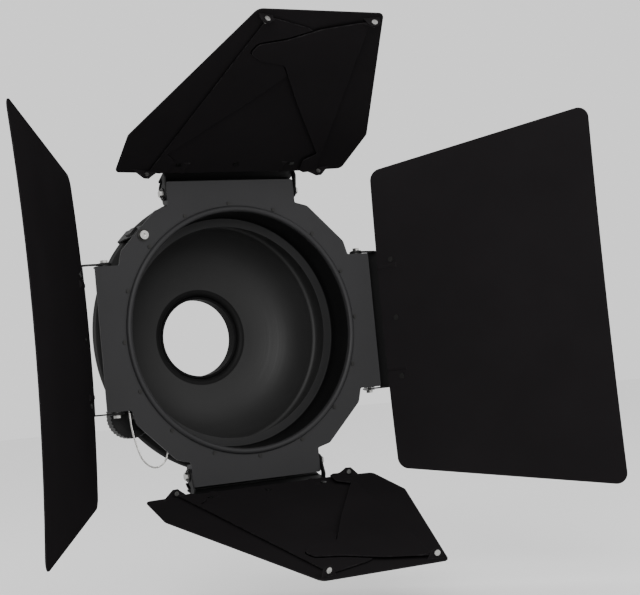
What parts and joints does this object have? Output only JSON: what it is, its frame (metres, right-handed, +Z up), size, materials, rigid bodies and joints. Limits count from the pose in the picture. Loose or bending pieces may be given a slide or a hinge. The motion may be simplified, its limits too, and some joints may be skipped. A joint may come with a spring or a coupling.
{
  "type": "rotating barn door reflector",
  "caption": "Deep black bowl reflector with a rotating barn door frame: hinged side leaves, top and bottom leaves with folding wings, rear bayonet ring, lock wheel and safety cable.",
  "frame": {"origin": "centre of the rear mount ring's back face, on the light axis", "axes": "+Z up; +Y backwards along the light axis towards the lamp head, so the light leaves towards -Y; +X to the right seen from the front"},
  "size_m": [0.6417, 0.3985, 0.5223],
  "materials": {
    "reflector_black": "satin black baked enamel on spun aluminium",
    "plate_charcoal": "fine-textured charcoal powder coat",
    "leaf_black": "matt black heat-resistant paint",
    "bracket_black": "satin black paint",
    "cast_black": "black anodised cast aluminium",
    "hardware_zinc": "bright zinc plating",
    "hardware_black": "black oxide",
    "knob_black": "moulded black nylon",
    "glide_black": "black nylon",
    "lining_grey": "grey friction lining",
    "cable_steel": "bare stainless wire rope"
  },
  "bodies": {
    "reflector": {"reflector_bowl": "reflector_black", "mount_spacer": "cast_black", "mount_ring": "cast_black", "mount_screws": "hardware_black"},
    "frame": {"front_plate": "plate_charcoal", "collar": "plate_charcoal", "glide_ring": "glide_black", "collar_rivets": "hardware_black", "clip_removable": "bracket_black", "clips_fixed": "bracket_black", "clip_screw": "hardware_zinc", "clip_washer": "hardware_black", "clip_nut": "hardware_zinc", "lock_stud": "hardware_zinc", "hinge_bolts": "hardware_zinc", "hinge_nuts": "hardware_zinc", "hinge_washers": "hardware_black", "safety_cable": "cable_steel", "cable_anchors": "hardware_zinc"},
    "lock_brake": {"lock_shoe": "hardware_zinc", "lock_lining": "lining_grey"},
    "lock_knob": {"lock_wheel": "knob_black"},
    "leaf_left": {"leaf_left": "leaf_black", "bracket_left": "bracket_black", "bracket_rivets_left": "hardware_black"},
    "leaf_right": {"leaf_right": "leaf_black", "bracket_right": "bracket_black", "bracket_rivets_right": "hardware_black"},
    "leaf_top": {"leaf_top": "leaf_black", "bracket_top": "bracket_black", "bracket_rivets_top": "hardware_black", "wing_pins_top": "hardware_zinc"},
    "leaf_bottom": {"leaf_bottom": "leaf_black", "bracket_bottom": "bracket_black", "bracket_rivets_bottom": "hardware_black", "wing_pins_bottom": "hardware_zinc"},
    "wing_top_left": {"wing_top_left": "leaf_black"},
    "wing_top_right": {"wing_top_right": "leaf_black"},
    "wing_bottom_left": {"wing_bottom_left": "leaf_black"},
    "wing_bottom_right": {"wing_bottom_right": "leaf_black"}
  },
  "joints": [
    {"name": "frame_turn", "type": "hinge", "parent": "reflector", "child": "frame", "pos_m": [0, 0, 0], "axis": [0, 1, 0], "continuous": true},
    {"name": "left_hinge", "type": "hinge", "parent": "frame", "child": "leaf_left", "pos_m": [-0.149, -0.1354, 0], "axis": [0, 0, 1], "range_deg": [-61.3, 53.7]},
    {"name": "right_hinge", "type": "hinge", "parent": "frame", "child": "leaf_right", "pos_m": [0.149, -0.1354, 0], "axis": [0, 0, 1], "range_deg": [-62.8, 52.2]},
    {"name": "top_hinge", "type": "hinge", "parent": "frame", "child": "leaf_top", "pos_m": [0, -0.1354, 0.149], "axis": [1, 0, 0], "range_deg": [-64.8, 85.2]},
    {"name": "bottom_hinge", "type": "hinge", "parent": "frame", "child": "leaf_bottom", "pos_m": [0, -0.1354, -0.149], "axis": [1, 0, 0], "range_deg": [-76.2, 73.8]},
    {"name": "wing_top_right_fold", "type": "hinge", "parent": "leaf_top", "child": "wing_top_right", "pos_m": [0.101, -0.15371, 0.16646], "axis": [0.1741, 0.891, -0.4193], "range_deg": [-170, 0]},
    {"name": "wing_top_left_fold", "type": "hinge", "parent": "leaf_top", "child": "wing_top_left", "pos_m": [-0.101, -0.15371, 0.16646], "axis": [0.1741, -0.891, 0.4193], "range_deg": [-170, 0]},
    {"name": "wing_bottom_right_fold", "type": "hinge", "parent": "leaf_bottom", "child": "wing_bottom_right", "pos_m": [0.101, -0.15622, -0.16338], "axis": [0.1741, 0.9456, 0.2747], "range_deg": [0, 170]},
    {"name": "wing_bottom_left_fold", "type": "hinge", "parent": "leaf_bottom", "child": "wing_bottom_left", "pos_m": [-0.101, -0.15622, -0.16338], "axis": [0.1741, -0.9456, -0.2747], "range_deg": [0, 170]},
    {"name": "lock_advance", "type": "slide", "parent": "frame", "child": "lock_brake", "axis": [0, 1, 0], "range_m": [0, 0.00061]},
    {"name": "lock_turn", "type": "hinge", "parent": "lock_brake", "child": "lock_knob", "pos_m": [-0.1295, -0.1174, -0.081], "axis": [0, 1, 0], "range_deg": [0, 216]}
  ],
  "couplings": [
    {"joint": "lock_advance", "follows": "lock_turn", "m_per_rad": 0.00015915}
  ]
}
